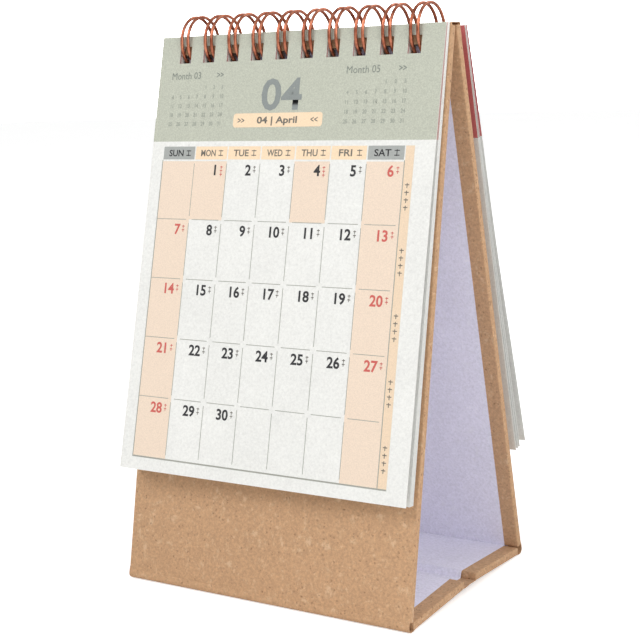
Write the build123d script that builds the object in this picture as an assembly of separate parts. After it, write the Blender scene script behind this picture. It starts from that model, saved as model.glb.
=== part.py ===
"""Flip desk calendar: a folded kraft tent stand with twin-loop wire and turning month sheets.

Millimetres, +Z up, +Y from front to back, +X to the viewer's right.
The origin is on the table, mid-way between the front and rear bottom edges of the stand.
"""

import math
import os

from build123d import *

# ---------------------------------------------------------------- sizes of the stand
stand_width = 95.0          # across X
stand_height = 157.0        # table to the tops of the two panels
stand_depth = 70.8          # front bottom edge to rear bottom edge
apex_y = 0.7                # middle of the closed top, a little behind the middle of the base
apex_gap = 0.4              # slit between the inner faces of the panels at the top
crease_y = 0.7              # base crease, front to back
crease_rise = 1.8           # how far the crease stands off the table
crease_gap = 7.0            # bare hinge between the two base boards

board_thickness = 2.0       # greyboard
kraft_thickness = 0.15
liner_thickness = 0.15
kraft_border = 4.5          # kraft turned in round the liner
fold_radius = 0.3           # outside radius of the bottom folds
rest_rise = 0.05            # the folds are flattened this far above their sharp corner
frame_y = 2.29              # the origin lies this far behind the middle of the feet, under the middle of the whole object
panel_thickness = board_thickness + kraft_thickness + liner_thickness

# ---------------------------------------------------------------- wire binding
pitch = 25.4 / 3            # three loops to the inch
loop_count = 10
loop_radius = 7.6           # to the middle of the wire
wire_diameter = 0.95
twin_spacing = 2.2          # between the two wires of one loop
loop_y = 2.4
loop_z = stand_height - 1.6
root_bend = 1.0             # each wire turns aside into the row of roots
root_row_angle = -112.5     # the row lies between the two panels, under the loops' axis
root_angle = root_row_angle + math.degrees(root_bend / loop_radius)
tip_angle = root_angle - 26.0

# ---------------------------------------------------------------- sheets
sheet_width = 94.0
sheet_height = 127.0
sheet_thickness = 0.15
hole_width = 4.1
sheet_hole_height = 5.0
sheet_hole_margin = 3.0     # top edge of a sheet to the tops of its holes
board_hole_height = 4.8
board_hole_margin = 5.0
sheet_step = 0.16           # from one sheet of a stack to the next, at the wire
turning_gap = 0.5           # between the turning sheet and the stack it lies on

front_months = ["may", "june", "july", "august", "september", "october", "november", "december"]
front_first_extra = 0.67    # lean of the sheet against the stand, over the panel's own
front_fan = 0.06            # more lean for each sheet further out
front_top_z = stand_height + 0.5
april_extra = 2.42
april_top_z = stand_height + 0.5

rear_sheets = ["cover", "january", "february"]
rear_distances = [4.4, 4.8, 5.1]        # from the loops' axis
rear_extras = [0.61, 1.11, 1.51]        # lean over the rear panel's own
rear_top_z = stand_height - 0.4
march_distance = 5.75
march_extra = 3.01
march_top_z = stand_height - 0.3

pivot_strip_height = 0.5    # strips of paper between the holes that the turning sheets swing on
pivot_strip_width = min(3.4, pitch - hole_width - 0.9)
pivot_clearance = 0.12

# ---------------------------------------------------------------- sizes that follow
half_depth = stand_depth / 2
panel_top_half = panel_thickness + apex_gap / 2
loop_centre = (loop_y, loop_z)
front_corner = (-half_depth, 0.0)
rear_corner = (half_depth, 0.0)
front_top = (apex_y - panel_top_half, stand_height)
rear_top = (apex_y + panel_top_half, stand_height)
crease = (crease_y, crease_rise)


def angle_of(start, end):
    """Direction from start to end in the Y-Z plane, in degrees from +Y towards +Z."""
    return math.degrees(math.atan2(end[1] - start[1], end[0] - start[0]))


def ahead(point, angle, distance):
    """The point a distance along a direction in the Y-Z plane."""
    turn = math.radians(angle)
    return (point[0] + distance * math.cos(turn), point[1] + distance * math.sin(turn))


def length_of(start, end):
    return math.dist(start, end)


front_angle = angle_of(front_corner, front_top)
rear_angle = angle_of(rear_corner, rear_top)
front_first_lean = 90 - front_angle + front_first_extra
april_lean = 90 - front_angle + april_extra
rear_leans = [rear_angle - 90 + extra for extra in rear_extras]
march_lean = rear_angle - 90 + march_extra
base_front_angle = angle_of(front_corner, crease)
base_rear_angle = angle_of(rear_corner, crease)
front_length = length_of(front_corner, front_top)
rear_length = length_of(rear_corner, rear_top)
base_front_length = length_of(front_corner, crease)
base_rear_length = length_of(rear_corner, crease)

# the boards stop where their inner faces meet, so each bottom fold can close
front_cut = panel_thickness / math.tan(math.radians((front_angle - base_front_angle) / 2))
rear_cut = panel_thickness / math.tan(math.radians((base_rear_angle - rear_angle) / 2))


# ---------------------------------------------------------------- helpers
def block(x0, x1, y0, y1, z0, z1):
    """A box between two corners."""
    return Pos((x0 + x1) / 2, (y0 + y1) / 2, (z0 + z1) / 2) * Box(x1 - x0, y1 - y0, z1 - z0)


def stood(shape, corner, angle, turned):
    """Stands a flat panel, drawn up +Z with its inner side to +Y, on a corner at an angle."""
    if turned:
        shape = mirror(shape, about=Plane.XZ)
    return Pos(0, corner[0], corner[1]) * Rot(angle - 90, 0, 0) * shape


def profile(points, width, round_at=None):
    """A solid of a Y-Z outline, centred on X, with chosen corners rounded."""
    outline = Plane.YZ * Polygon(*points, align=None)
    for corner, radius in round_at or []:
        spot = Vector(0, corner[0], corner[1])
        near = sorted(outline.vertices(), key=lambda v: (Vector(v.X, v.Y, v.Z) - spot).length)[0]
        outline = fillet(near, radius)
    return Pos(-width / 2, 0, 0) * extrude(outline, width, dir=(1, 0, 0))


def loop_x(number):
    return pitch * (number - (loop_count - 1) / 2)


def hole_row(top, margin, height, depth, open_top=False):
    """Cutters for the row of square holes, in a flat panel or sheet drawn up +Z.

    Holes that are open to the top edge let the wires leave when the stand folds.
    """
    cutters = []
    low = top - margin - height
    high = top + 1 if open_top else top - margin
    for number in range(loop_count):
        x = loop_x(number)
        cutters.append(block(x - hole_width / 2, x + hole_width / 2, -depth, depth, low, high))
    return cutters


# ---------------------------------------------------------------- panels of the stand
def panel_parts(start, end, has_top, open_holes):
    """Board, kraft cover and liner of one flat panel, drawn up +Z from start to end."""
    half = stand_width / 2
    kraft = kraft_thickness
    inner = kraft + board_thickness
    top_wrap = kraft if has_top else 0.0
    top_border = kraft_border if has_top else 0.0
    board = block(-half + kraft, half - kraft, kraft, inner, start, end - top_wrap)
    window_half = half - kraft_border
    cover = block(-half, half, 0, inner + kraft, start, end)
    cover -= block(-half + kraft, half - kraft, kraft, inner, start - 1, end - top_wrap)
    low = start - 1
    high = end - top_border if has_top else end + 1
    cover -= block(-window_half, window_half, inner - 0.01, inner + 1, low, high)
    liner = block(-window_half, window_half, inner, inner + liner_thickness, start, end - top_border)
    if has_top:
        for cutter in hole_row(end, board_hole_margin, board_hole_height, 10, open_holes):
            board -= cutter
            cover -= cutter
            liner -= cutter
    return board, cover, liner


def fold_strip(path, inward_left, thickness, width, offset=0.0, radius=None):
    """A paper strip of even thickness laid along a bent Y-Z path, its second point rounded."""
    side = 90 if inward_left else -90
    runs = [angle_of(path[i], path[i + 1]) for i in range(len(path) - 1)]

    def layer(distance):
        points = [ahead(path[0], runs[0] + side, distance)]
        for number in range(1, len(path) - 1):
            half_turn = ((runs[number] - runs[number - 1] + 180) % 360 - 180) / 2
            reach = distance / math.cos(math.radians(half_turn))
            points.append(ahead(path[number], runs[number - 1] + half_turn + side, reach))
        points.append(ahead(path[-1], runs[-1] + side, distance))
        return points

    outer = layer(offset)
    inner = layer(offset + thickness)
    rounded = [(outer[1], radius)] if radius else None
    return profile(outer + inner[::-1], width, rounded)


# ---------------------------------------------------------------- wire
def binding():
    """The twin-loop wire: ten double fingers bent round to meet their row of roots."""
    wire_radius = wire_diameter / 2
    parts = []
    turn = 360 + tip_angle - root_angle
    axis = Axis((0, loop_y, loop_z), (1, 0, 0))

    def on_loop(angle):
        """Plane square to the wire at an angle round the loop, with X along the row."""
        point = ahead(loop_centre, angle, loop_radius)
        tangent = math.radians(angle + 90)
        return point, (0, math.cos(tangent), math.sin(tangent))

    root_point, root_tangent = on_loop(root_angle)
    tip_point, tip_tangent = on_loop(tip_angle)
    for number in range(loop_count):
        for side in (-1, 1):
            x = loop_x(number) + side * twin_spacing / 2
            section = Plane((x, *root_point), x_dir=(1, 0, 0), z_dir=root_tangent) * Circle(wire_radius)
            parts.append(revolve(section, axis, turn))
        # the rounded tip that joins the two wires of a finger
        x = loop_x(number) - twin_spacing / 2
        section = Plane((x, *tip_point), x_dir=(1, 0, 0), z_dir=tip_tangent) * Circle(wire_radius)
        outward = Vector(0, *ahead((0, 0), tip_angle, 1.0))
        tip_axis = Axis((loop_x(number), *tip_point), outward)
        tip = revolve(section, tip_axis, 180)
        if (tip.center() - Vector(0, *tip_point)).dot(Vector(*tip_tangent)) < 0:
            tip = revolve(section, tip_axis, -180)
        parts.append(tip)
    # the roots: each wire turns aside and runs to the next loop
    inward = Vector(0, *ahead((0, 0), root_angle, 1.0))
    back = Vector(*root_tangent) * -1
    for number in range(loop_count - 1):
        left = loop_x(number) + twin_spacing / 2
        right = loop_x(number + 1) - twin_spacing / 2
        for x, side in ((left, 1), (right, -1)):
            section = Plane((x, *root_point), x_dir=(1, 0, 0), z_dir=root_tangent) * Circle(wire_radius)
            bend_axis = Axis((x + side * root_bend, *root_point), inward)
            bend = revolve(section, bend_axis, 90)
            if (bend.center() - Vector(0, *root_point)).dot(back) < 0:
                bend = revolve(section, bend_axis, -90)
            parts.append(bend)
        middle = Vector((left + right) / 2, *root_point) + back * root_bend
        run = right - left - 2 * root_bend
        parts.append(Plane(middle, z_dir=(1, 0, 0)) * Cylinder(wire_radius, run))
    wire = parts[0]
    wire = wire.fuse(*parts[1:])
    return wire


# ---------------------------------------------------------------- sheets
def sheet_line(distance, lean, top_z, front):
    """Top point and downward direction of a sheet whose plane passes a distance from the loops' axis."""
    out = 180 - lean if front else lean
    down = out + 90 if front else out - 90
    foot = ahead(loop_centre, out, distance)
    rise = (top_z - foot[1]) / -math.sin(math.radians(down))
    top = ahead(foot, down, -rise)
    return top, down, rise


def sheet(distance, lean, top_z, front, strips=False):
    """A punched sheet hanging from the loops, centred on its own thickness."""
    top, down, rise = sheet_line(distance, lean, top_z, front)
    half = sheet_width / 2
    leaf = block(-half, half, -sheet_thickness / 2, sheet_thickness / 2, -sheet_height, 0)
    for cutter in hole_row(0, sheet_hole_margin, sheet_hole_height, 1, not front):
        leaf -= cutter
    if strips:
        reach = contact_depth(distance, rise)
        for strip in pivot_strip_row(reach, pivot_clearance, 1.0):
            leaf -= strip
    return Pos(0, *top) * Rot(down + 90, 0, 0) * leaf


def contact_depth(distance, rise):
    """How far below its top edge a sheet crosses the middle of the wire."""
    return rise + math.sqrt(loop_radius**2 - distance**2)


def pivot_strip_row(depth, clearance, thickness):
    """The strips of paper between neighbouring holes, on the line where a sheet meets the wire."""
    strips = []
    for number in range(loop_count - 1):
        x = (loop_x(number) + loop_x(number + 1)) / 2
        half = pivot_strip_width / 2 + clearance
        tall = pivot_strip_height / 2 + clearance
        strips.append(block(x - half, x + half, -thickness, thickness, -depth - tall, -depth + tall))
    return strips


def pivot(distance, lean, top_z, front):
    top, down, rise = sheet_line(distance, lean, top_z, front)
    depth = contact_depth(distance, rise)
    strips = Compound(pivot_strip_row(depth, 0.0, sheet_thickness / 2))
    return Pos(0, *top) * Rot(down + 90, 0, 0) * strips


# ---------------------------------------------------------------- all the nodes
def build():
    nodes = {}
    base_front_end = base_front_length - crease_gap / 2
    base_rear_end = base_rear_length - crease_gap / 2
    panels = [
        ("front", front_corner, front_angle, False, front_cut, front_length, True, False),
        ("rear", rear_corner, rear_angle, True, rear_cut, rear_length, True, True),
        ("base_front", front_corner, base_front_angle, True, front_cut, base_front_end, False, False),
        ("base_rear", rear_corner, base_rear_angle, False, rear_cut, base_rear_end, False, False),
    ]
    for name, corner, angle, turned, start, end, has_top, open_holes in panels:
        board, cover, liner = panel_parts(start, end, has_top, open_holes)
        nodes["board_" + name] = stood(board, corner, angle, turned)
        nodes["kraft_" + name] = stood(cover, corner, angle, turned)
        nodes["liner_" + name] = stood(liner, corner, angle, turned)

    # bottom folds, kraft outside and liner inside
    liner_width = stand_width - 2 * kraft_border
    corners = [
        ("front", front_corner, front_angle, base_front_angle, front_cut, True),
        ("rear", rear_corner, rear_angle, base_rear_angle, rear_cut, False),
    ]
    for name, corner, panel_angle, base_angle, cut, left in corners:
        flat_start = ahead(corner, panel_angle, rest_rise / math.sin(math.radians(panel_angle)))
        flat_end = ahead(corner, base_angle, rest_rise / math.sin(math.radians(base_angle)))
        path = [ahead(corner, panel_angle, cut), flat_start, flat_end, ahead(corner, base_angle, cut)]
        kraft = fold_strip(path, left, kraft_thickness, stand_width, radius=fold_radius)
        liner = fold_strip(path, left, liner_thickness, liner_width, offset=kraft_thickness)
        nodes["kraft_fold_" + name] = kraft
        nodes["liner_fold_" + name] = liner

    # crease of the base: the papers drop between the boards and lie together
    half = crease_gap / 2
    path = [ahead(crease, base_front_angle + 180, half), crease, ahead(crease, base_rear_angle + 180, half)]
    nodes["kraft_crease"] = fold_strip(path, True, kraft_thickness, stand_width)
    nodes["liner_crease"] = fold_strip(path, True, liner_thickness, liner_width, offset=kraft_thickness)

    # kraft carried over the closed top
    over = 0.5
    cap_front = front_top[0]
    cap_back = rear_top[0]
    cap_z = stand_height
    cap = [
        (cap_front, cap_z),
        (cap_front + 0.6, cap_z + over - kraft_thickness),
        (cap_back - 0.6, cap_z + over - kraft_thickness),
        (cap_back, cap_z),
        (cap_back, cap_z + kraft_thickness),
        (cap_back - 0.6, cap_z + over),
        (cap_front + 0.6, cap_z + over),
        (cap_front, cap_z + kraft_thickness),
    ]
    nodes["kraft_fold_top"] = profile(cap, stand_width)

    nodes["wire_binding"] = binding()

    # front stack, from the stand outwards
    face = panel_face_distance(front_corner, front_angle)
    for step, month in enumerate(reversed(front_months)):
        distance = face + sheet_step * (step + 1)
        lean = front_first_lean + front_fan * step
        nodes["sheet_" + month] = sheet(distance, lean, front_top_z, True)
    april_distance = face + sheet_step * len(front_months) + sheet_thickness + turning_gap
    nodes["sheet_april"] = sheet(april_distance, april_lean, april_top_z, True, strips=True)
    nodes["april_pivot_strips"] = pivot(april_distance, april_lean, april_top_z, True)

    for name, distance, lean in zip(rear_sheets, rear_distances, rear_leans):
        nodes["sheet_" + name] = sheet(distance, lean, rear_top_z, False)
    nodes["sheet_march"] = sheet(march_distance, march_lean, march_top_z, False, strips=True)
    nodes["march_pivot_strips"] = pivot(march_distance, march_lean, march_top_z, False)
    return nodes


def panel_face_distance(corner, angle):
    """Distance from the loops' axis to the outer face of a panel."""
    turn = math.radians(angle)
    across = (loop_y - corner[0]) * math.sin(turn) - (loop_z - corner[1]) * math.cos(turn)
    return abs(across)


if __name__ == "__main__":
    os.makedirs("parts", exist_ok=True)
    for node, shape in build().items():
        export_step(shape.moved(Location((0, -frame_y, 0))), "parts/" + node + ".step")
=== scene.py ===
import math

import bpy
from mathutils import Matrix, Vector


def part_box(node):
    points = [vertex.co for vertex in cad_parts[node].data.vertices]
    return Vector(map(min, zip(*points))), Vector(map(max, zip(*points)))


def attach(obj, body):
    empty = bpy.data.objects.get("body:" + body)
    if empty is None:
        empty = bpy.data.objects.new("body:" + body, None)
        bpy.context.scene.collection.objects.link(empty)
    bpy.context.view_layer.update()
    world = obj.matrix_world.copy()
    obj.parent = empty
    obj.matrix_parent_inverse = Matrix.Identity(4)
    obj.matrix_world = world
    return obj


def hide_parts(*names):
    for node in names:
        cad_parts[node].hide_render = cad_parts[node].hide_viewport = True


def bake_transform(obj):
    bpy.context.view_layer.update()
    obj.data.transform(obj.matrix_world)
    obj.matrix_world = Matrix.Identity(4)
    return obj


bl_info = {
    "name": "Flip Desk Calendar",
    "version": (1, 0, 0),
    "blender": (4, 5, 0),
    "location": "View3D > Sidebar > Calendar",
    "description": "Dresses a folding tent calendar with kraft, paper, printing and wire",
    "category": "Object",
}

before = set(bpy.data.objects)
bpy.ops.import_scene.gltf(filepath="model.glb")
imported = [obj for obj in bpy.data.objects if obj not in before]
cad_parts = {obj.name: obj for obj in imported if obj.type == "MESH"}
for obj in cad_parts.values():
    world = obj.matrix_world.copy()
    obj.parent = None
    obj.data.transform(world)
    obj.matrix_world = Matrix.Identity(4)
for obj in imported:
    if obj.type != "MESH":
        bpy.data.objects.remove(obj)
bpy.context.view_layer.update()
MM = 0.001

# stand, in millimetres; the feet lie evenly about a line in front of the origin
FRAME_Y = 2.29
HALF_DEPTH = 35.4
TOP_Z = 157.0
FRONT_TOP = (-1.8 - FRAME_Y, TOP_Z)
REAR_TOP = (3.2 - FRAME_Y, TOP_Z)
CREASE = (0.7 - FRAME_Y, 1.8)
THICK = 2.3
CREASE_GAP = 7.0

# loops, in millimetres
PITCH = 25.4 / 3
LOOPS = 10
LOOP_R = 7.6
LOOP_C = (2.4 - FRAME_Y, 155.4)
ROW_ANGLE = -112.5
BEND = 1.0
TWIN = 2.2

# sheets, in millimetres
SHEET_W = 94.0
SHEET_H = 127.0
SHEET_T = 0.15
HOLE_W = 4.1
HOLE_H = 5.0
HOLE_TOP = 3.0
HEADER_V = 96.0
GRID_U = -42.6
GRID_V = 4.07
CELL_W = 11.53
CELL_H = 17.3


# ------------------------------------------------------------------ small tools
def linear(red, green, blue):
    """A colour given as 0 to 255, made linear, with alpha."""
    out = []
    for part in (red, green, blue):
        part = part / 255
        out.append(part / 12.92 if part <= 0.04045 else ((part + 0.055) / 1.055) ** 2.4)
    return (*out, 1.0)


def only(*objects):
    """Selects just these objects and makes the first one active."""
    if bpy.context.object and bpy.context.object.mode != "OBJECT":
        bpy.ops.object.mode_set(mode="OBJECT")
    bpy.ops.object.select_all(action="DESELECT")
    for item in objects:
        item.select_set(True)
    bpy.context.view_layer.objects.active = objects[0]


def fresh():
    bpy.ops.object.select_all(action="DESELECT")


def settle(item, matrix=None):
    """Applies an object's place to its mesh, so that the object sits at the origin."""
    only(item)
    if matrix is not None:
        item.matrix_world = matrix @ item.matrix_world
    bpy.ops.object.transform_apply(location=True, rotation=True, scale=True)
    return item


def named(item, name):
    item.name = name
    item.data.name = name
    return item


def grid(name, x0, x1, y0, y1, z, cell):
    """A flat grid of faces between two corners, in millimetres."""
    fresh()
    across = max(1, round((x1 - x0) / cell))
    along = max(1, round((y1 - y0) / cell))
    bpy.ops.mesh.primitive_grid_add(x_subdivisions=across, y_subdivisions=along, size=1.0)
    item = named(bpy.context.object, name)
    item.scale = ((x1 - x0) * MM, (y1 - y0) * MM, 1)
    item.location = ((x0 + x1) / 2 * MM, (y0 + y1) / 2 * MM, z * MM)
    return settle(item)


def slab(name, x0, x1, y0, y1, z0, z1):
    """A box between two corners, in millimetres."""
    fresh()
    bpy.ops.mesh.primitive_cube_add(size=1.0)
    item = named(bpy.context.object, name)
    item.scale = ((x1 - x0) * MM, (y1 - y0) * MM, (z1 - z0) * MM)
    item.location = ((x0 + x1) / 2 * MM, (y0 + y1) / 2 * MM, (z0 + z1) / 2 * MM)
    return settle(item)


def joined(items, name):
    only(*items)
    if len(items) > 1:
        bpy.ops.object.join()
    return named(bpy.context.object, name)


def modify(item, kind, **values):
    """Adds a modifier, sets it and applies it."""
    only(item)
    modifier = item.modifiers.new(kind.title(), kind)
    for key, value in values.items():
        setattr(modifier, key, value)
    bpy.ops.object.modifier_apply(modifier=modifier.name)
    return item


def cut(item, cutter):
    modify(item, "BOOLEAN", operation="DIFFERENCE", solver="EXACT", object=cutter)
    bpy.data.objects.remove(cutter, do_unlink=True)
    return item


def smooth(item, degrees=35):
    only(item)
    bpy.ops.object.shade_smooth_by_angle(angle=math.radians(degrees))
    return item


def finish_with(item, *materials):
    item.data.materials.clear()
    for material in materials:
        item.data.materials.append(material)
    return item


def loop_x(number):
    return PITCH * (number - (LOOPS - 1) / 2)


def holes(name, y0, y1, z0, z1):
    """Cutters for the row of square holes."""
    half = HOLE_W / 2
    return joined(
        [slab("hole", loop_x(n) - half, loop_x(n) + half, y0, y1, z0, z1) for n in range(LOOPS)], name
    )


def angle_of(start, end):
    return math.atan2(end[1] - start[1], end[0] - start[0])


def ahead(point, angle, distance):
    return (point[0] + distance * math.cos(angle), point[1] + distance * math.sin(angle))


# ------------------------------------------------------------------ shader groups
def socket(group, name, way, kind, value=None):
    item = group.interface.new_socket(name=name, in_out=way, socket_type=kind)
    if value is not None:
        item.default_value = value
    return item


def math_node(tree, kind, a, b=None, clamp=False):
    node = tree.nodes.new("ShaderNodeMath")
    node.operation = kind
    node.use_clamp = clamp
    for index, value in enumerate((a, b)):
        if value is None:
            continue
        if isinstance(value, (int, float)):
            node.inputs[index].default_value = value
        else:
            tree.links.new(value, node.inputs[index])
    return node.outputs[0]


def mixed(tree, factor, a, b, kind="MIX"):
    node = tree.nodes.new("ShaderNodeMix")
    node.data_type = "RGBA"
    node.blend_type = kind
    for index, value in ((0, factor), (6, a), (7, b)):
        if isinstance(value, (int, float, tuple)):
            node.inputs[index].default_value = value
        else:
            tree.links.new(value, node.inputs[index])
    return node.outputs[2]


def noise(tree, vector, scale, detail=3.0, rough=0.55):
    node = tree.nodes.new("ShaderNodeTexNoise")
    node.inputs["Scale"].default_value = scale
    node.inputs["Detail"].default_value = detail
    node.inputs["Roughness"].default_value = rough
    tree.links.new(vector, node.inputs["Vector"])
    return node.outputs["Fac"]


def ramp(tree, value, low, high):
    node = tree.nodes.new("ShaderNodeMapRange")
    node.interpolation_type = "SMOOTHSTEP"
    node.inputs["From Min"].default_value = low
    node.inputs["From Max"].default_value = high
    tree.links.new(value, node.inputs["Value"])
    return node.outputs["Result"]


def new_group(name):
    group = bpy.data.node_groups.new(name, "ShaderNodeTree")
    return group, group.nodes.new("NodeGroupInput"), group.nodes.new("NodeGroupOutput")


def fibre_group():
    """Paper fibre: long soft fibres, fine tooth and scattered flecks."""
    group, start, end = new_group("paper_fibre")
    socket(group, "Vector", "INPUT", "NodeSocketVector")
    socket(group, "Base", "INPUT", "NodeSocketColor")
    socket(group, "Light Fibre", "INPUT", "NodeSocketColor")
    socket(group, "Dark Fleck", "INPUT", "NodeSocketColor")
    socket(group, "Fibre Amount", "INPUT", "NodeSocketFloat", 0.3)
    socket(group, "Fleck Amount", "INPUT", "NodeSocketFloat", 0.2)
    socket(group, "Color", "OUTPUT", "NodeSocketColor")
    socket(group, "Height", "OUTPUT", "NodeSocketFloat")
    vector = start.outputs["Vector"]
    maps = []
    for turn, stretch in ((0.5, (1.0, 0.28, 1.0)), (2.1, (0.3, 1.0, 0.34)), (1.2, (0.5, 0.9, 0.22))):
        node = group.nodes.new("ShaderNodeMapping")
        node.inputs["Rotation"].default_value = (turn, 0.35 * turn, turn)
        node.inputs["Scale"].default_value = stretch
        group.links.new(vector, node.inputs["Vector"])
        maps.append(noise(group, node.outputs["Vector"], 900, 4.0, 0.65))
    fibres = math_node(group, "MAXIMUM", math_node(group, "MAXIMUM", maps[0], maps[1]), maps[2])
    light = ramp(group, fibres, 0.58, 0.72)
    tooth = noise(group, vector, 4200, 2.0, 0.7)
    mottle = noise(group, vector, 55, 4.0, 0.6)
    cells = group.nodes.new("ShaderNodeTexVoronoi")
    cells.inputs["Scale"].default_value = 850
    cells.inputs["Randomness"].default_value = 1.0
    group.links.new(nudged(group, vector), cells.inputs["Vector"])
    split = group.nodes.new("ShaderNodeSeparateColor")
    group.links.new(cells.outputs["Color"], split.inputs[0])
    rare = ramp(group, split.outputs[0], 0.55, 0.95)
    close = math_node(group, "SUBTRACT", 1.0, ramp(group, cells.outputs["Distance"], 0.10, 0.36))
    fleck = math_node(group, "MULTIPLY", rare, close, True)
    fibre = start.outputs["Fibre Amount"]
    grain = math_node(group, "MULTIPLY", noise(group, vector, 1300, 4.0, 0.75), fibre)
    grain = math_node(group, "SUBTRACT", grain, math_node(group, "MULTIPLY", fibre, 0.5))
    shade = math_node(group, "ADD", 0.90, math_node(group, "MULTIPLY", mottle, 0.14))
    shade = math_node(group, "ADD", shade, math_node(group, "MULTIPLY", tooth, 0.07))
    shade = math_node(group, "ADD", shade, math_node(group, "MULTIPLY", grain, 2.2))
    grey = group.nodes.new("ShaderNodeCombineColor")
    for index in range(3):
        group.links.new(shade, grey.inputs[index])
    colour = mixed(group, 1.0, start.outputs["Base"], grey.outputs[0], "MULTIPLY")
    amount = math_node(group, "MULTIPLY", light, start.outputs["Fibre Amount"], True)
    colour = mixed(group, amount, colour, start.outputs["Light Fibre"])
    amount = math_node(group, "MULTIPLY", fleck, start.outputs["Fleck Amount"], True)
    colour = mixed(group, amount, colour, start.outputs["Dark Fleck"])
    group.links.new(colour, end.inputs["Color"])
    fine = math_node(group, "MULTIPLY", tooth, 0.3)
    height = math_node(group, "ADD", math_node(group, "MULTIPLY", fibres, 0.7), fine)
    group.links.new(height, end.inputs["Height"])
    return group


def nudged(tree, vector):
    """The position, nudged about, so that flecks come out uneven."""
    node = tree.nodes.new("ShaderNodeTexNoise")
    node.inputs["Scale"].default_value = 900
    tree.links.new(vector, node.inputs["Vector"])
    small = tree.nodes.new("ShaderNodeVectorMath")
    small.operation = "SCALE"
    small.inputs["Scale"].default_value = 0.0012
    tree.links.new(node.outputs["Color"], small.inputs[0])
    total = tree.nodes.new("ShaderNodeVectorMath")
    total.operation = "ADD"
    tree.links.new(vector, total.inputs[0])
    tree.links.new(small.outputs[0], total.inputs[1])
    return total.outputs[0]


def material_base(name, rough, bump, distance, specular=0.35):
    """A material with a Principled shader and a bump, ready for colour and height."""
    material = bpy.data.materials.new(name)
    material.use_nodes = True
    tree = material.node_tree
    shader = tree.nodes["Principled BSDF"]
    shader.inputs["Roughness"].default_value = rough
    shader.inputs["Specular IOR Level"].default_value = specular
    place = tree.nodes.new("ShaderNodeTexCoord")
    relief = tree.nodes.new("ShaderNodeBump")
    relief.inputs["Strength"].default_value = bump
    relief.inputs["Distance"].default_value = distance
    tree.links.new(relief.outputs["Normal"], shader.inputs["Normal"])
    return material, tree, shader, place, relief


def fibre_material(name, base, light, dark, fibre, fleck, rough=0.85, bump=0.25, distance=0.00006):
    material, tree, shader, place, relief = material_base(name, rough, bump, distance)
    node = tree.nodes.new("ShaderNodeGroup")
    node.node_tree = bpy.data.node_groups["paper_fibre"]
    node.inputs["Base"].default_value = base
    node.inputs["Light Fibre"].default_value = light
    node.inputs["Dark Fleck"].default_value = dark
    node.inputs["Fibre Amount"].default_value = fibre
    node.inputs["Fleck Amount"].default_value = fleck
    tree.links.new(place.outputs["Object"], node.inputs["Vector"])
    tree.links.new(node.outputs["Color"], shader.inputs["Base Color"])
    tree.links.new(node.outputs["Height"], relief.inputs["Height"])
    return material


def either_side(colour, grain):
    """A darker and a lighter version of a colour."""
    low = tuple(c * (1 - grain) for c in colour[:3]) + (1,)
    high = tuple(min(1, c * (1 + grain)) for c in colour[:3]) + (1,)
    return low, high


def header_material(name, paper, band, grain):
    """Smooth white paper, with a printed band across the top of the sheet."""
    material = fibre_material(name, paper, paper, linear(205, 203, 198), 0.2, 0.25, 0.62, 0.12, 0.00003)
    tree = material.node_tree
    shader = tree.nodes["Principled BSDF"]
    colour = shader.inputs["Base Color"].links[0].from_socket
    place = next(n for n in tree.nodes if n.bl_idname == "ShaderNodeTexCoord")
    split = tree.nodes.new("ShaderNodeSeparateXYZ")
    tree.links.new(place.outputs["UV"], split.inputs[0])
    mask = math_node(tree, "GREATER_THAN", split.outputs[1], HEADER_V / SHEET_H)
    speck = ramp(tree, noise(tree, place.outputs["Object"], 2600, 2.0, 0.75), 0.36, 0.66)
    printed = mixed(tree, speck, *either_side(band, grain))
    tree.links.new(mixed(tree, mask, colour, printed), shader.inputs["Base Color"])
    return material


def ink_material(name, colour, grain=0.06):
    """Printed ink that lets a little of the paper's grain through."""
    material, tree, shader, place, relief = material_base(name, 0.6, 0.08, 0.00003)
    speck = noise(tree, place.outputs["Object"], 3000, 2.0, 0.7)
    toned = mixed(tree, ramp(tree, speck, 0.3, 0.7), *either_side(colour, grain))
    tree.links.new(toned, shader.inputs["Base Color"])
    tree.links.new(speck, relief.inputs["Height"])
    return material


def wire_material(name, base, deep):
    """Coated copper wire with drawn streaks and a tone that varies at random."""
    material, tree, shader, place, relief = material_base(name, 0.3, 0.1, 0.00002, 0.5)
    shader.inputs["Metallic"].default_value = 1.0
    tone = ramp(tree, noise(tree, place.outputs["Object"], 420, 4.0, 0.6), 0.3, 0.72)
    tree.links.new(mixed(tree, tone, deep, base), shader.inputs["Base Color"])
    streak = noise(tree, place.outputs["Object"], 2600, 3.0, 0.6)
    rough = math_node(tree, "ADD", 0.2, math_node(tree, "MULTIPLY", streak, 0.22))
    tree.links.new(rough, shader.inputs["Roughness"])
    tree.links.new(streak, relief.inputs["Height"])
    return material


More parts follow.
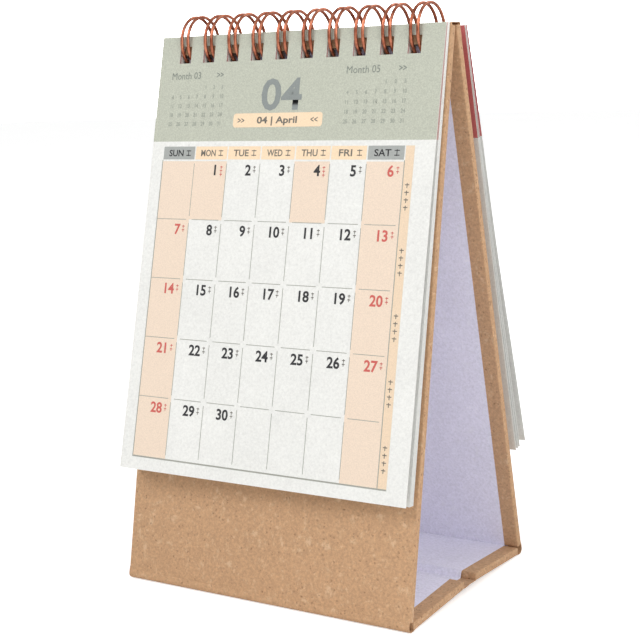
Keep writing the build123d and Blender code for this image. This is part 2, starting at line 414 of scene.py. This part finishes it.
# ------------------------------------------------------------------ properties
class CalendarFinish(bpy.types.PropertyGroup):
    kraft: bpy.props.FloatVectorProperty(
        name="Kraft", description="Colour of the kraft covering", subtype="COLOR", size=4,
        default=linear(193, 154, 118), min=0, max=1)
    # liner colour: white paper with a slight lavender tint; the tint is painted shade, the cool cast the
    # liner shows inside the stand
    liner: bpy.props.FloatVectorProperty(
        name="Liner", description="Colour of the liner inside the stand", subtype="COLOR", size=4,
        default=linear(236, 234, 248), min=0, max=1)
    page: bpy.props.FloatVectorProperty(
        name="Page", description="Colour of the sheets", subtype="COLOR", size=4,
        default=linear(233, 233, 229), min=0, max=1)
    header: bpy.props.FloatVectorProperty(
        name="Header", description="Colour of the band over the month in use", subtype="COLOR", size=4,
        default=linear(190, 193, 178), min=0, max=1)
    accent: bpy.props.FloatVectorProperty(
        name="Accent", description="Colour of the weekend columns and boxes", subtype="COLOR", size=4,
        default=linear(236, 216, 196), min=0, max=1)
    wire: bpy.props.FloatVectorProperty(
        name="Wire", description="Colour of the loops", subtype="COLOR", size=4,
        default=linear(214, 138, 108), min=0, max=1)
    wire_radius: bpy.props.FloatProperty(
        name="Wire radius", description="Radius of the loop wire", default=0.000475, min=0.0002, max=0.001,
        unit="LENGTH", precision=5)
    edge_round: bpy.props.FloatProperty(
        name="Edge rounding", description="Softness of the wrapped board edges", default=0.00035, min=0.0,
        max=0.001, unit="LENGTH", precision=5)
    curl: bpy.props.FloatProperty(
        name="Sheet curl", description="How far the free corners of the front sheet lift", default=0.001,
        min=0.0, max=0.003, unit="LENGTH", precision=4)


def make_materials(look):
    fibre_group()
    grey = linear(168, 171, 168)
    fibre_material("kraft_wrap", tuple(look.kraft), linear(226, 196, 162), linear(120, 86, 58), 0.5, 0.62)
    fibre_material("board_core", linear(150, 142, 132), linear(190, 182, 170), linear(90, 80, 70), 0.5, 0.6)
    # the liner's lavender tint in its base, light fibres and flecks is painted shade on white paper
    fibre_material("liner_sheet_shade_tint", tuple(look.liner), linear(240, 240, 246), linear(200, 198, 214), 0.3, 0.25)
    header_material("sheet_in_use", tuple(look.page), tuple(look.header), 0.10)
    header_material("sheet_rose", tuple(look.page), linear(205, 112, 112), 0.08)
    header_material("sheet_blush", tuple(look.page), linear(236, 196, 190), 0.06)
    header_material("sheet_sage", tuple(look.page), tuple(look.header), 0.10)
    page = tuple(look.page)
    fibre_material("sheet_back", page, page, linear(214, 212, 206), 0.2, 0.2, 0.66, 0.12, 0.00003)
    ink_material("ink_accent", tuple(look.accent))
    ink_material("ink_sage", tuple(look.header), 0.1)
    ink_material("ink_rose", linear(205, 112, 112), 0.08)
    ink_material("ink_box", linear(246, 219, 186))
    ink_material("ink_grey", grey)
    ink_material("ink_line", linear(160, 161, 152))
    ink_material("ink_dark", linear(52, 52, 54))
    ink_material("ink_note", linear(116, 112, 104))
    ink_material("ink_red", linear(206, 100, 92))
    ink_material("ink_faint", linear(158, 163, 152))
    ink_material("ink_title", linear(134, 140, 132))
    ink_material("ink_number", linear(140, 146, 144))
    ink_material("ink_strip", linear(236, 212, 184))
    wire_material("copper_coat", tuple(look.wire), linear(150, 82, 60))


def finish(name):
    return bpy.data.materials[name]


# ------------------------------------------------------------------ stand
def panel_matrix(corner, angle, side):
    """Local X across, local Y inward from the outer face, local Z along the panel."""
    run = Vector((0, math.cos(angle), math.sin(angle)))
    inward = Vector((0, -math.sin(angle), math.cos(angle))) * side
    across = inward.cross(run)
    matrix = Matrix((across, inward, run)).transposed().to_4x4()
    matrix.translation = Vector((0, corner[0] * MM, corner[1] * MM))
    return matrix


FRONT = (-HALF_DEPTH - FRAME_Y, 0.0)
REAR = (HALF_DEPTH - FRAME_Y, 0.0)
A_FRONT = angle_of(FRONT, FRONT_TOP)
A_REAR = angle_of(REAR, REAR_TOP)
A_BASE_FRONT = angle_of(FRONT, CREASE)
A_BASE_REAR = angle_of(REAR, CREASE)
CUT_FRONT = THICK / math.tan((A_FRONT - A_BASE_FRONT) / 2)
CUT_REAR = THICK / math.tan((A_BASE_REAR - A_REAR) / 2)


def wrapped_panel(name, corner, angle, side, start, end, punched, edge_round, body, replaced):
    """A board in its kraft covering, with soft edges and cut holes."""
    item = slab(name, -47.5, 47.5, 0, THICK - 0.02, start, end)
    modify(item, "BEVEL", width=edge_round, segments=3, limit_method="ANGLE")
    finish_with(item, finish("kraft_wrap"), finish("board_core"))
    if punched:
        cut(item, holes("cutters", -2, 6, end - 9.8, end - 5.0))
        for face in item.data.polygons:
            middle = face.center
            inside = abs(face.normal.y) < 0.3 and middle.z < (end - 4.9) * MM and middle.z > (end - 9.9) * MM
            if inside and abs(middle.x) < 44 * MM:
                face.material_index = 1
    smooth(item, 40)
    settle(item, panel_matrix(corner, angle, side))
    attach(item, body)
    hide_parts(*replaced)
    return item


def strip(name, path, width, thickness, side, material, rows=14):
    """A paper strip laid along a Y-Z path, with its thickness on one side."""
    fresh()
    count = len(path) - 1
    bpy.ops.mesh.primitive_grid_add(x_subdivisions=rows, y_subdivisions=count, size=2.0)
    item = named(bpy.context.object, name)
    for vertex in item.data.vertices:
        row = round((vertex.co.y + 1) / 2 * count)
        vertex.co = Vector((vertex.co.x * width / 2, path[row][0], path[row][1])) * MM
    modify(item, "SOLIDIFY", thickness=thickness * MM, offset=side)
    finish_with(item, material)
    return smooth(item, 40)


def fold_path(corner, panel_angle, base_angle, cut_length, radius, inset, left):
    """Outer line of a bottom fold, from the panel round to the base, moved in by an inset."""
    half = (panel_angle - base_angle) / 2
    middle = (panel_angle + base_angle) / 2
    centre = ahead(corner, middle, radius / abs(math.sin(half)))
    sign = 1 if left else -1
    tucks = ((0.8, 0.12), (0.2, 0.1), (-0.15, 0.0))
    points = []
    for reach, deep in tucks:
        spot = ahead(corner, panel_angle, cut_length + reach)
        points.append(ahead(spot, panel_angle - sign * math.pi / 2, inset + deep))
    first = panel_angle + sign * math.pi / 2
    last = base_angle - sign * math.pi / 2
    if left:
        while last < first:
            last += 2 * math.pi
    else:
        while last > first:
            last -= 2 * math.pi
    steps = 12
    for number in range(steps + 1):
        turn = first + (last - first) * number / steps
        points.append(ahead(centre, turn, radius - inset))
    for reach, deep in reversed(tucks):
        spot = ahead(corner, base_angle, cut_length + reach)
        points.append(ahead(spot, base_angle + sign * math.pi / 2, inset + deep))
    return points


# ------------------------------------------------------------------ sheets
def sheet_place(node, lean, front):
    """Matrix from sheet coordinates to the row frame: X across, Y up the sheet, Z off its printed face."""
    low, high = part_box(node)
    tilt = math.radians(lean)
    up = Vector((0, math.sin(tilt) * (1 if front else -1), math.cos(tilt)))
    out = Vector((1, 0, 0)).cross(up)
    half = SHEET_T / 2 * MM
    y = high[1] - half * math.cos(tilt) if front else low[1] + half * math.cos(tilt)
    top = Vector((0, y, high[2] - half * math.sin(tilt)))
    matrix = Matrix((Vector((1, 0, 0)), up, out)).transposed().to_4x4()
    matrix.translation = top - up * SHEET_H * MM
    return matrix


def curled(item, shape):
    """Moves a flat piece off its plane as the curl of its sheet says."""
    for vertex in item.data.vertices:
        vertex.co.z += shape(vertex.co.x / MM, vertex.co.y / MM) * MM
    return item


def paper_sheet(name, cell, shape, face_material):
    """A punched sheet, its printed side up."""
    item = grid(name, -SHEET_W / 2, SHEET_W / 2, 0, SHEET_H, 0, cell)
    modify(item, "SOLIDIFY", thickness=SHEET_T * MM, offset=0.0)
    cutter = holes("cutters", SHEET_H - HOLE_TOP - HOLE_H, SHEET_H - HOLE_TOP, -3, 3)
    cut(item, cutter)
    layer = item.data.uv_layers.active or item.data.uv_layers.new(name="sheet")
    for loop in item.data.loops:
        place = item.data.vertices[loop.vertex_index].co
        layer.data[loop.index].uv = (place.x / MM / SHEET_W + 0.5, place.y / MM / SHEET_H)
    finish_with(item, face_material, finish("sheet_back"))
    for face in item.data.polygons:
        face.material_index = 0 if face.normal.z > 0.5 else 1
    curled(item, shape)
    smooth(item, 30)
    return item


def patch(u0, u1, v0, v1, lift=0.02):
    return grid("patch", u0, u1, v0, v1, SHEET_T / 2 + lift, 4.0)


def rounded_patch(u0, u1, v0, v1, radius, lift):
    item = grid("patch", u0, u1, v0, v1, SHEET_T / 2 + lift, 200.0)
    only(item)
    bpy.ops.object.mode_set(mode="EDIT")
    bpy.ops.mesh.select_all(action="SELECT")
    bpy.ops.mesh.bevel(offset=radius * MM, segments=5, affect="VERTICES")
    bpy.ops.object.mode_set(mode="OBJECT")
    return item


def lettering(words, u, v, height, align="CENTER", squeeze=0.86, heavy=0.0, lift=0.035, width=None):
    """Figures or a word as a flat mesh, its baseline at v."""
    fresh()
    bpy.ops.object.text_add()
    item = bpy.context.object
    item.data.body = words
    item.data.size = height * MM / 0.72
    item.data.align_x = align
    item.data.resolution_u = 3
    item.data.offset = heavy * MM
    if width:
        bpy.context.view_layer.update()
        squeeze = width * MM / item.dimensions.x
    item.scale = (squeeze, 1, 1)
    item.location = (u * MM, v * MM, (SHEET_T / 2 + lift) * MM)
    only(item)
    bpy.ops.object.convert(target="MESH")
    return settle(bpy.context.object)


def month_face(prefix, number, title, first_day, days, marked):
    """All the printing of one month, in sheet coordinates, as a dict of ink to pieces."""
    right = GRID_U + 7 * CELL_W
    top = GRID_V + 5 * CELL_H
    inks = {}

    def add(ink, item):
        inks.setdefault(ink, []).append(item)

    names = ("SUN", "MON", "TUE", "WED", "THU", "FRI", "SAT")
    for column in range(7):
        u = GRID_U + column * CELL_W
        weekend = column in (0, 6)
        left = u if column == 0 else u + 0.2
        add("ink_grey" if weekend else "ink_box", patch(left, u + CELL_W - 0.2, 90.75, 94.5))
        ink = "ink_dark" if weekend else "ink_note"
        width = 4.2 if names[column] == "FRI" else 5.2
        add(ink, lettering(names[column], u + 4.7, 91.7, 1.9, heavy=0.05, width=width))
        for bar in range(2):
            add(ink, patch(u + 8.3, u + 9.9, 91.8 + 1.3 * bar, 92.05 + 1.3 * bar, 0.035))
        add(ink, patch(u + 8.95, u + 9.2, 91.7, 93.5, 0.035))
    for row in range(5):
        for column in range(7):
            u = GRID_U + column * CELL_W
            v = top - (row + 1) * CELL_H
            day = row * 7 + column - first_day + 1
            weekend = column in (0, 6)
            if weekend or day in marked:
                add("ink_accent", patch(u, u + CELL_W, v, v + CELL_H - (0.35 if row == 0 else 0)))
            if 1 <= day <= days:
                ink = "ink_red" if weekend else "ink_dark"
                add(ink, lettering(str(day), u + CELL_W - 2.9, v + CELL_H - 4.3, 3.0, "RIGHT", 0.98, 0.11))
                ink = "ink_red" if weekend or day in marked else "ink_note"
                for bar in range(2 + (day in marked)):
                    low = v + CELL_H - 2.6 - 1.05 * bar
                    add(ink, patch(u + CELL_W - 2.2, u + CELL_W - 1.3, low + 0.5, low + 0.72, 0.035))
                    add(ink, patch(u + CELL_W - 1.86, u + CELL_W - 1.66, low + 0.02, low + 0.95, 0.035))
            if row < 4:
                gap = 0.0 if column == 0 else 1.0
                add("ink_line", patch(u + gap, u + CELL_W - 1.0, v - 0.09, v + 0.09, 0.03))
            if column < 6:
                add("ink_line", patch(u + CELL_W - 0.09, u + CELL_W + 0.09, v + 1.0, v + CELL_H - 1.0, 0.03))
    add("ink_line", patch(GRID_U - 0.28, GRID_U, GRID_V - 0.3, top, 0.03))
    add("ink_line", patch(GRID_U - 0.28, right + 2.8, GRID_V - 0.42, GRID_V, 0.03))
    add("ink_line", patch(right - 0.1, right + 0.16, GRID_V - 0.3, top, 0.03))
    add("ink_strip", patch(right + 0.16, right + 2.8, GRID_V, 94.5))
    for row in range(5):
        v = top - row * CELL_H - 6.6
        for bar in range(4):
            add("ink_note", patch(right + 0.8, right + 2.1, v - 2.0 * bar, v - 2.0 * bar + 0.25, 0.035))
            add("ink_note", patch(right + 1.3, right + 1.55, v - 2.0 * bar - 0.7, v - 2.0 * bar + 0.6, 0.035))
    add("ink_number", lettering(number, -2.9, 104.9, 8.9, heavy=0.24, width=13.6))
    add("ink_box", rounded_patch(-18.7, 11.3, 99.9, 103.9, 0.9, 0.02))
    add("ink_note", lettering(number + " | " + title, -3.7, 101.0, 1.9, heavy=0.07, width=13.5))
    add("ink_note", lettering(">>", -16.0, 101.0, 1.8, heavy=0.04))
    add("ink_note", lettering("<<", 8.6, 101.0, 1.8, heavy=0.04))
    for left, other in ((-41.4, "03"), (18.6, "05")):
        add("ink_title", lettering("Month " + other, left + 4.4, 114.3, 2.1, heavy=0.0, width=10.5))
        add("ink_title", lettering(">>", left + 16.6, 114.4, 1.8, heavy=0.05))
        for row in range(6):
            for column in range(7):
                day = row * 7 + column - 3
                if 1 <= day <= 31:
                    spot = (left + 2.95 * column, 111.2 - 2.65 * row)
                    add("ink_faint", lettering(str(day), *spot, 1.15, heavy=0.03))
    return {ink: joined(items, prefix + "_" + ink) for ink, items in inks.items()}


# ------------------------------------------------------------------ operators
class CALENDAR_OT_panels(bpy.types.Operator):
    """Builds the four wrapped boards of the stand"""

    bl_idname = "calendar.panels"
    bl_label = "Wrapped panels"

    def execute(self, context):
        look = context.scene.calendar_finish
        length = math.dist(FRONT, FRONT_TOP)
        rear = math.dist(REAR, REAR_TOP)
        base_front = math.dist(FRONT, CREASE) - CREASE_GAP / 2
        base_rear = math.dist(REAR, CREASE) - CREASE_GAP / 2
        rows = (
            ("front_cover_board", FRONT, A_FRONT, -1, CUT_FRONT, length, "front_panel", "front"),
            ("rear_cover_board", REAR, A_REAR, 1, CUT_REAR, rear, "rear_panel", "rear"),
            ("base_board_front", FRONT, A_BASE_FRONT, 1, CUT_FRONT, base_front, "base_front", "base_front"),
            ("base_board_rear", REAR, A_BASE_REAR, -1, CUT_REAR, base_rear, "base_rear", "base_rear"),
        )
        for name, corner, angle, side, start, end, body, node in rows:
            punched = body.endswith("panel")
            replaced = ("kraft_" + node, "board_" + node)
            wrapped_panel(name, corner, angle, side, start, end, punched, look.edge_round, body, replaced)
        for node in ("liner_front", "liner_rear", "liner_base_front", "liner_base_rear"):
            finish_with(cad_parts[node], finish("liner_sheet_shade_tint"))
        return {"FINISHED"}


class CALENDAR_OT_folds(bpy.types.Operator):
    """Builds the papers that cross the folds"""

    bl_idname = "calendar.folds"
    bl_label = "Folded papers"

    def execute(self, context):
        kraft = finish("kraft_wrap")
        liner = finish("liner_sheet_shade_tint")
        rows = (
            ("front", FRONT, A_FRONT, A_BASE_FRONT, CUT_FRONT, True, "front_panel", "base_front"),
            ("rear", REAR, A_REAR, A_BASE_REAR, CUT_REAR, False, "base_rear", "rear_panel"),
        )
        for name, corner, panel_angle, base_angle, length, left, body_a, body_b in rows:
            for kind, width, inset, thickness, material in (
                ("kraft", 95.0, 0.0, 0.15, kraft), ("liner", 86.0, 0.16, 0.12, liner)):
                path = fold_path(corner, panel_angle, base_angle, length, 1.4, inset, left)
                item = strip(kind + "_round_" + name, path, width, thickness, 1 if left else -1, material)
                ends = [Vector((0, p[0], p[1])) * MM for p in (path[3], path[-4])]
                if not left:
                    ends.reverse()
                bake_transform(item)
                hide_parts(kind + "_fold_" + name)
        half = CREASE_GAP / 2
        for kind, width, thickness, material, rise, drop in (
            ("kraft", 95.0, 0.15, kraft, 0.02, 0.0), ("liner", 86.0, 0.14, liner, 0.2, 2.1)):
            path = []
            for number in range(17):
                share = number / 16
                y = CREASE[0] - half + 2 * half * share
                wing = abs(2 * share - 1)
                edge = max(0.0, (wing - 0.72) / 0.28)
                z = CREASE[1] - wing * half * 0.0505 + rise + drop * edge ** 2 * (3 - 2 * edge)
                path.append((y, z))
            item = strip(kind + "_over_crease", path, width, thickness, 1, material)
            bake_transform(item)
            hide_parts(kind + "_crease")
        middle = (FRONT_TOP[0] + REAR_TOP[0]) / 2
        reach = REAR_TOP[0] - middle
        for name, sign, body in (("front", -1, "front_panel"), ("rear", 1, "rear_panel")):
            path = [(middle + sign * 0.02, TOP_Z + 0.48)]
            for number in range(9):
                turn = math.radians(90 * (1 - number / 8))
                y = middle + sign * (reach - 0.5 + 0.5 * math.cos(turn))
                path.append((y, TOP_Z - 0.02 + 0.5 * math.sin(turn)))
            path.append((middle + sign * (reach + 0.05), TOP_Z - 0.3))
            item = strip("kraft_over_top_" + name, path, 95.0, 0.15, -1 if sign > 0 else 1, kraft)
            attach(item, body)
            if sign < 0:
                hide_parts("kraft_fold_top")
        return {"FINISHED"}


class CALENDAR_OT_wire(bpy.types.Operator):
    """Bends one length of wire into the row of double loops"""

    bl_idname = "calendar.wire"
    bl_label = "Wire loops"

    def execute(self, context):
        look = context.scene.calendar_finish
        root = math.radians(ROW_ANGLE) + BEND / LOOP_R
        tip = root - math.radians(26) + 2 * math.pi
        points = []

        def put(x, angle):
            y, z = ahead(LOOP_C, angle, LOOP_R)
            points.append((x * MM, y * MM, z * MM, 1))

        for number in range(LOOPS):
            for side in (-1, 1):
                x = loop_x(number) + side * TWIN / 2
                bend = []
                if (number, side) not in ((0, -1), (LOOPS - 1, 1)):
                    for turn in range(90, 0, -15):
                        turn = math.radians(turn)
                        aside = side * BEND * (1 - math.cos(turn))
                        bend.append((x + aside, root - BEND * math.sin(turn) / LOOP_R))
                arc = [(x, root + (tip - root) * step / 60) for step in range(61)]
                if side < 0:
                    for spot in bend + arc:
                        put(*spot)
                    for turn in range(15, 180, 15):
                        turn = math.radians(turn)
                        across = loop_x(number) - TWIN / 2 * math.cos(turn)
                        put(across, tip + TWIN / 2 * math.sin(turn) / LOOP_R)
                else:
                    for spot in arc[::-1] + bend[::-1]:
                        put(*spot)
        fresh()
        bpy.ops.curve.primitive_bezier_curve_add()
        item = named(bpy.context.object, "twin_loop_wire")
        item.data.splines.clear()
        spline = item.data.splines.new("POLY")
        spline.points.add(len(points) - 1)
        for place, spot in zip(spline.points, points):
            place.co = spot
        item.data.bevel_depth = look.wire_radius
        item.data.bevel_resolution = 3
        item.data.use_fill_caps = True
        only(item)
        bpy.ops.object.convert(target="MESH")
        item = bpy.context.object
        finish_with(item, finish("copper_coat"))
        smooth(item, 60)
        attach(item, "front_panel")
        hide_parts("wire_binding")
        return {"FINISHED"}


class CALENDAR_OT_sheets(bpy.types.Operator):
    """Builds the paper sheets on both sides of the stand"""

    bl_idname = "calendar.sheets"
    bl_label = "Sheets"

    def execute(self, context):
        months = ("december", "november", "october", "september", "august", "july", "june", "may")
        for step, month in enumerate(months):
            lean = 12.75 + 0.06 * step
            shape = lambda u, v, s=step: -0.03 * (1 - v / SHEET_H) ** 2 * (u / 47) * s
            looks = "sheet_blush" if month in ("may", "july", "september") else "sheet_sage"
            item = paper_sheet("page_" + month, 8.0, shape, finish(looks))
            self.seat(item, "sheet_" + month, lean, True, "front_panel")
        rear = (
            ("cover", 12.2, "sheet_rose"),
            ("january", 12.7, "sheet_sage"),
            ("february", 13.1, "sheet_rose"),
        )
        for month, lean, looks in rear:
            shape = lambda u, v: 0.25 * math.sin(math.pi * v / SHEET_H)
            item = paper_sheet("page_" + month, 6.0, shape, finish(looks))
            self.seat(item, "sheet_" + month, lean, False, "rear_panel")
        finish_with(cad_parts["april_pivot_strips"], finish("ink_sage"))
        finish_with(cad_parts["march_pivot_strips"], finish("ink_rose"))
        return {"FINISHED"}

    def seat(self, item, node, lean, front, body):
        settle(item, sheet_place(node, lean, front))
        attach(item, body)
        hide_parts(node)


class CALENDAR_OT_turning_sheets(bpy.types.Operator):
    """Builds the two printed sheets that turn, with their printing"""

    bl_idname = "calendar.turning_sheets"
    bl_label = "Printed sheets"

    def execute(self, context):
        curl = context.scene.calendar_finish.curl / MM

        def april(u, v):
            return max(0.0, 1 - v / SHEET_H) ** 1.6 * curl * (-0.4 - 1.4 * u / 47)

        def march(u, v):
            return max(0.0, math.sin(math.pi * v / SHEET_H)) ** 3 * (1 - 0.2 * u / 47)

        rows = (
            ("april", "04", "April", 1, 30, (1, 4), 14.5, True, april, "sheet_in_use", "april_sheet"),
            ("march", "03", "March", 5, 30, (8,), 14.6, False, march, "sheet_rose", "march_sheet"),
        )
        for month, number, title, first, days, marked, lean, front, shape, looks, body in rows:
            place = sheet_place("sheet_" + month, lean, front)
            item = paper_sheet("page_" + month, 3.0, shape, finish(looks))
            settle(item, place)
            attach(item, body)
            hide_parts("sheet_" + month)
            for ink, piece in month_face(month, number, title, first, days, marked).items():
                finish_with(piece, finish(ink))
                curled(piece, shape)
                settle(piece, place)
                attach(piece, body)
        return {"FINISHED"}


class CALENDAR_OT_stage(bpy.types.Operator):
    """Sets the floor, the lights and the camera"""

    bl_idname = "calendar.stage"
    bl_label = "Stage"

    def execute(self, context):
        fresh()
        bpy.ops.mesh.primitive_plane_add(size=6.0, location=(0, 0, 0))
        floor = named(bpy.context.object, "floor")
        material, tree, shader, place, relief = material_base("floor_paint", 0.9, 0.02, 0.0001, 0.2)
        tone = noise(tree, place.outputs["Object"], 6, 2.0, 0.5)
        paint = mixed(tree, tone, linear(250, 250, 250), linear(255, 255, 255))
        tree.links.new(paint, shader.inputs["Base Color"])
        rays = tree.nodes.new("ShaderNodeLightPath")
        shader.inputs["Emission Color"].default_value = (1, 1, 1, 1)
        glow = math_node(tree, "MULTIPLY", rays.outputs["Is Camera Ray"], 0.45)
        tree.links.new(glow, shader.inputs["Emission Strength"])
        finish_with(floor, material)
        world = bpy.data.worlds.new("studio")
        world.use_nodes = True
        tree = world.node_tree
        tree.nodes["Background"].inputs[0].default_value = (1.0, 1.0, 1.0, 1)
        rays = tree.nodes.new("ShaderNodeLightPath")
        seen = math_node(tree, "MULTIPLY", rays.outputs["Is Camera Ray"], 3.0)
        tree.links.new(math_node(tree, "ADD", seen, 0.55), tree.nodes["Background"].inputs[1])
        context.scene.world = world
        context.scene.view_settings.view_transform = "Standard"
        for name, spot, size, power in (
            ("key", (-0.35, -0.85, 0.95), 0.6, 5.6),
            ("fill", (0.95, -0.3, 0.5), 0.8, 4.4),
            ("back", (0.3, 0.9, 0.8), 0.8, 2.4),
        ):
            fresh()
            bpy.ops.object.light_add(type="AREA", location=spot)
            light = bpy.context.object
            light.name = name
            light.data.size = size
            light.data.energy = power
            aim = Vector((0, 0, 0.08)) - Vector(spot)
            light.rotation_euler = aim.to_track_quat("-Z", "Y").to_euler()
        fresh()
        bpy.ops.object.camera_add()
        camera = bpy.context.object
        forward = Vector((-0.53547, 0.82548, -0.17848)).normalized()
        up = Vector((-0.06027, 0.17344, 0.98300))
        right = forward.cross(up).normalized()
        up = right.cross(forward)
        matrix = Matrix((right, up, -forward)).transposed().to_4x4()
        matrix.translation = Vector((0.22361, -0.34283 - FRAME_Y * MM, 0.14907))
        camera.matrix_world = matrix
        camera.data.lens = 80.5
        camera.data.sensor_width = 36.0
        camera.data.clip_start = 0.01
        context.scene.camera = camera
        return {"FINISHED"}


class CALENDAR_PT_pieces(bpy.types.Panel):
    """Lists the steps that dress the calendar"""

    bl_label = "Flip desk calendar"
    bl_idname = "CALENDAR_PT_pieces"
    bl_space_type = "VIEW_3D"
    bl_region_type = "UI"
    bl_category = "Calendar"

    def draw(self, context):
        look = context.scene.calendar_finish
        for key in CalendarFinish.__annotations__:
            self.layout.prop(look, key)
        for step in STEPS:
            self.layout.operator("calendar." + step)


STEPS = ("panels", "folds", "wire", "sheets", "turning_sheets", "stage")
CLASSES = (
    CalendarFinish,
    CALENDAR_OT_panels,
    CALENDAR_OT_folds,
    CALENDAR_OT_wire,
    CALENDAR_OT_sheets,
    CALENDAR_OT_turning_sheets,
    CALENDAR_OT_stage,
    CALENDAR_PT_pieces,
)


def register():
    for item in CLASSES:
        bpy.utils.register_class(item)
    bpy.types.Scene.calendar_finish = bpy.props.PointerProperty(type=CalendarFinish)


def unregister():
    del bpy.types.Scene.calendar_finish
    for item in reversed(CLASSES):
        bpy.utils.unregister_class(item)


def main():
    register()
    make_materials(bpy.context.scene.calendar_finish)
    for step in STEPS:
        getattr(bpy.ops.calendar, step)()


if __name__ == "__main__":
    main()
